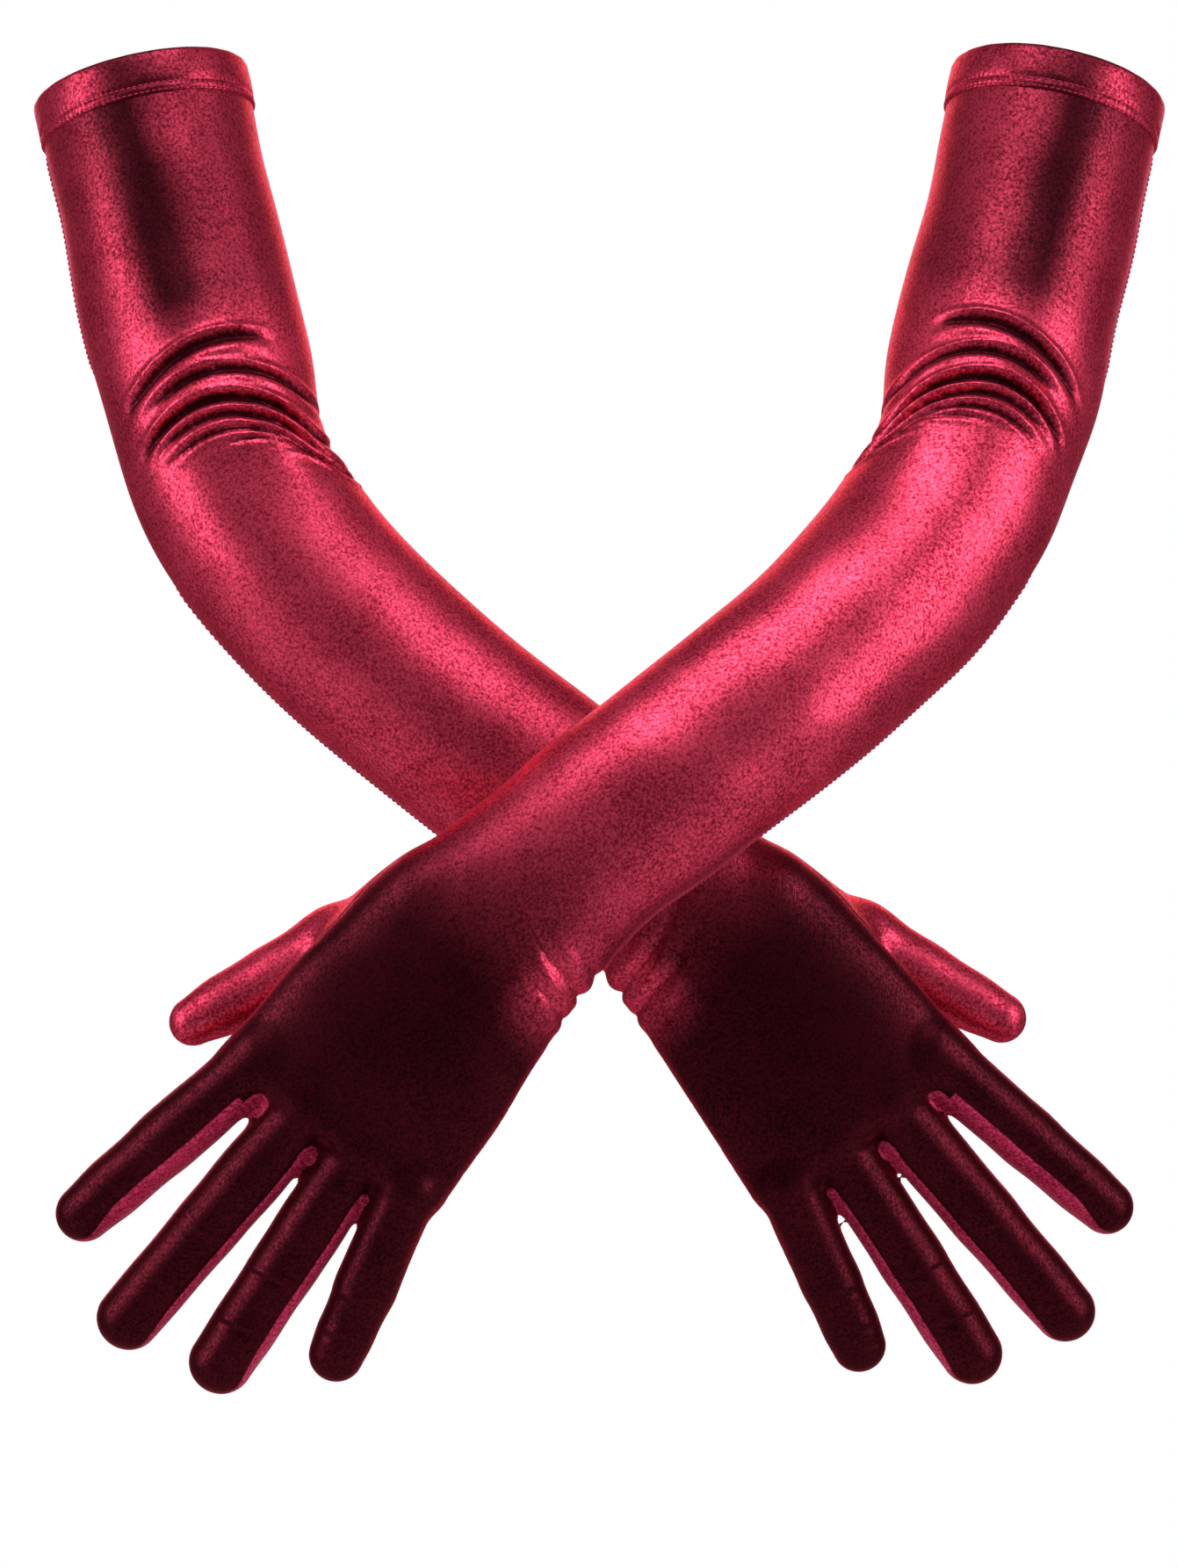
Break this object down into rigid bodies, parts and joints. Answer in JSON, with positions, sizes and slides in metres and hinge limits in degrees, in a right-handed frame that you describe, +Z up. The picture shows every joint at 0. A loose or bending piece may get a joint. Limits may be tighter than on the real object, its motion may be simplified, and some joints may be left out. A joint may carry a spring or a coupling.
{
  "type": "opera gloves",
  "caption": "Pair of long stretch-satin evening gloves, filled out as worn on crossed forearms; elbows, wrists, thumbs and fingers bend.",
  "frame": {"origin": "centre of the pair's bounding box, close to where the forearms cross", "axes": "+Z up towards the arm openings, -Y out of the backs of the hands, +X towards the left glove's elbow"},
  "size_m": [0.3518, 0.1653, 0.4141],
  "materials": {
    "satin": "satin",
    "fourchette_satin": "satin",
    "thread": "matte thread"
  },
  "bodies": {
    "right_upper": {"right_hem_band": "satin", "right_hem_stitching": "thread", "right_upper_sleeve_back": "satin", "right_upper_sleeve_palm": "satin", "right_upper_sleeve_seam": "thread", "right_elbow_gathers": "satin"},
    "right_forearm": {"right_forearm_back": "satin", "right_forearm_palm": "satin", "right_forearm_seam": "thread", "right_wrist_gathers": "satin"},
    "right_hand": {"right_hand_back": "satin", "right_hand_palm": "satin", "right_knuckle_folds": "satin"},
    "right_thumb": {"right_thumb_back": "satin", "right_thumb_palm": "satin"},
    "right_index": {"right_index_back": "satin", "right_index_palm": "satin", "right_index_fourchette_inner": "fourchette_satin"},
    "right_middle": {"right_middle_back": "satin", "right_middle_palm": "satin", "right_middle_fourchette_outer": "fourchette_satin", "right_middle_fourchette_inner": "fourchette_satin"},
    "right_ring": {"right_ring_back": "satin", "right_ring_palm": "satin", "right_ring_fourchette_outer": "fourchette_satin", "right_ring_fourchette_inner": "fourchette_satin"},
    "right_little": {"right_little_back": "satin", "right_little_palm": "satin", "right_little_fourchette_outer": "fourchette_satin"},
    "left_upper": {"left_hem_band": "satin", "left_hem_stitching": "thread", "left_upper_sleeve_back": "satin", "left_upper_sleeve_palm": "satin", "left_upper_sleeve_seam": "thread", "left_elbow_gathers": "satin"},
    "left_forearm": {"left_forearm_back": "satin", "left_forearm_palm": "satin", "left_forearm_seam": "thread", "left_wrist_gathers": "satin"},
    "left_hand": {"left_hand_back": "satin", "left_hand_palm": "satin", "left_knuckle_folds": "satin"},
    "left_thumb": {"left_thumb_back": "satin", "left_thumb_palm": "satin"},
    "left_index": {"left_index_back": "satin", "left_index_palm": "satin", "left_index_fourchette_inner": "fourchette_satin"},
    "left_middle": {"left_middle_back": "satin", "left_middle_palm": "satin", "left_middle_fourchette_outer": "fourchette_satin", "left_middle_fourchette_inner": "fourchette_satin"},
    "left_ring": {"left_ring_back": "satin", "left_ring_palm": "satin", "left_ring_fourchette_outer": "fourchette_satin", "left_ring_fourchette_inner": "fourchette_satin"},
    "left_little": {"left_little_back": "satin", "left_little_palm": "satin", "left_little_fourchette_outer": "fourchette_satin"}
  },
  "joints": [
    {"name": "left_glove_draws_off", "type": "slide", "parent": "right_upper", "child": "left_upper", "axis": [0, -1, 0], "range_m": [0, 0.12]},
    {"name": "right_elbow", "type": "hinge", "parent": "right_upper", "child": "right_forearm", "pos_m": [-0.11425, 0.0226, 0.0844], "axis": [0, 1, 0], "range_deg": [-6, 38], "deforming": ["right_elbow_gathers"]},
    {"name": "right_wrist", "type": "hinge", "parent": "right_forearm", "child": "right_hand", "pos_m": [0.029, -0.0014, -0.0631], "axis": [0.7282, 0, 0.6854], "range_deg": [-10, 30], "deforming": ["right_wrist_gathers"]},
    {"name": "right_thumb_swing", "type": "hinge", "parent": "right_hand", "child": "right_thumb", "pos_m": [0.08112, 0.0171, -0.06712], "axis": [0.4789, 0, 0.8779], "range_deg": [-5, 35]},
    {"name": "right_index_curl", "type": "hinge", "parent": "right_hand", "child": "right_index", "pos_m": [0.10918, 0.00841, -0.11114], "axis": [0.658, 0, 0.753], "range_deg": [-8, 70], "deforming": ["right_knuckle_folds"]},
    {"name": "right_middle_curl", "type": "hinge", "parent": "right_hand", "child": "right_middle", "pos_m": [0.09568, 0.00853, -0.12888], "axis": [0.7612, 0, 0.6485], "range_deg": [-8, 70]},
    {"name": "right_ring_curl", "type": "hinge", "parent": "right_hand", "child": "right_ring", "pos_m": [0.07848, 0.00846, -0.14203], "axis": [0.8357, 0, 0.5492], "range_deg": [-8, 70]},
    {"name": "right_little_curl", "type": "hinge", "parent": "right_hand", "child": "right_little", "pos_m": [0.06185, 0.0081, -0.15379], "axis": [0.9172, 0, 0.3984], "range_deg": [-8, 70]},
    {"name": "left_elbow", "type": "hinge", "parent": "left_upper", "child": "left_forearm", "pos_m": [0.11425, 0.0091, 0.0844], "axis": [0, -1, 0], "range_deg": [-6, 38], "deforming": ["left_elbow_gathers"]},
    {"name": "left_wrist", "type": "hinge", "parent": "left_forearm", "child": "left_hand", "pos_m": [-0.029, -0.0609, -0.0631], "axis": [0.7282, 0, -0.6854], "range_deg": [-10, 30], "deforming": ["left_wrist_gathers"]},
    {"name": "left_thumb_swing", "type": "hinge", "parent": "left_hand", "child": "left_thumb", "pos_m": [-0.08112, -0.0429, -0.06712], "axis": [0.4789, 0, -0.8779], "range_deg": [-5, 35]},
    {"name": "left_index_curl", "type": "hinge", "parent": "left_hand", "child": "left_index", "pos_m": [-0.10918, -0.05159, -0.11114], "axis": [0.658, 0, -0.753], "range_deg": [-8, 70], "deforming": ["left_knuckle_folds"]},
    {"name": "left_middle_curl", "type": "hinge", "parent": "left_hand", "child": "left_middle", "pos_m": [-0.09568, -0.05147, -0.12888], "axis": [0.7612, 0, -0.6485], "range_deg": [-8, 70]},
    {"name": "left_ring_curl", "type": "hinge", "parent": "left_hand", "child": "left_ring", "pos_m": [-0.07848, -0.05154, -0.14203], "axis": [0.8357, 0, -0.5492], "range_deg": [-8, 70]},
    {"name": "left_little_curl", "type": "hinge", "parent": "left_hand", "child": "left_little", "pos_m": [-0.06185, -0.0519, -0.15379], "axis": [0.9172, 0, -0.3984], "range_deg": [-8, 70]}
  ]
}
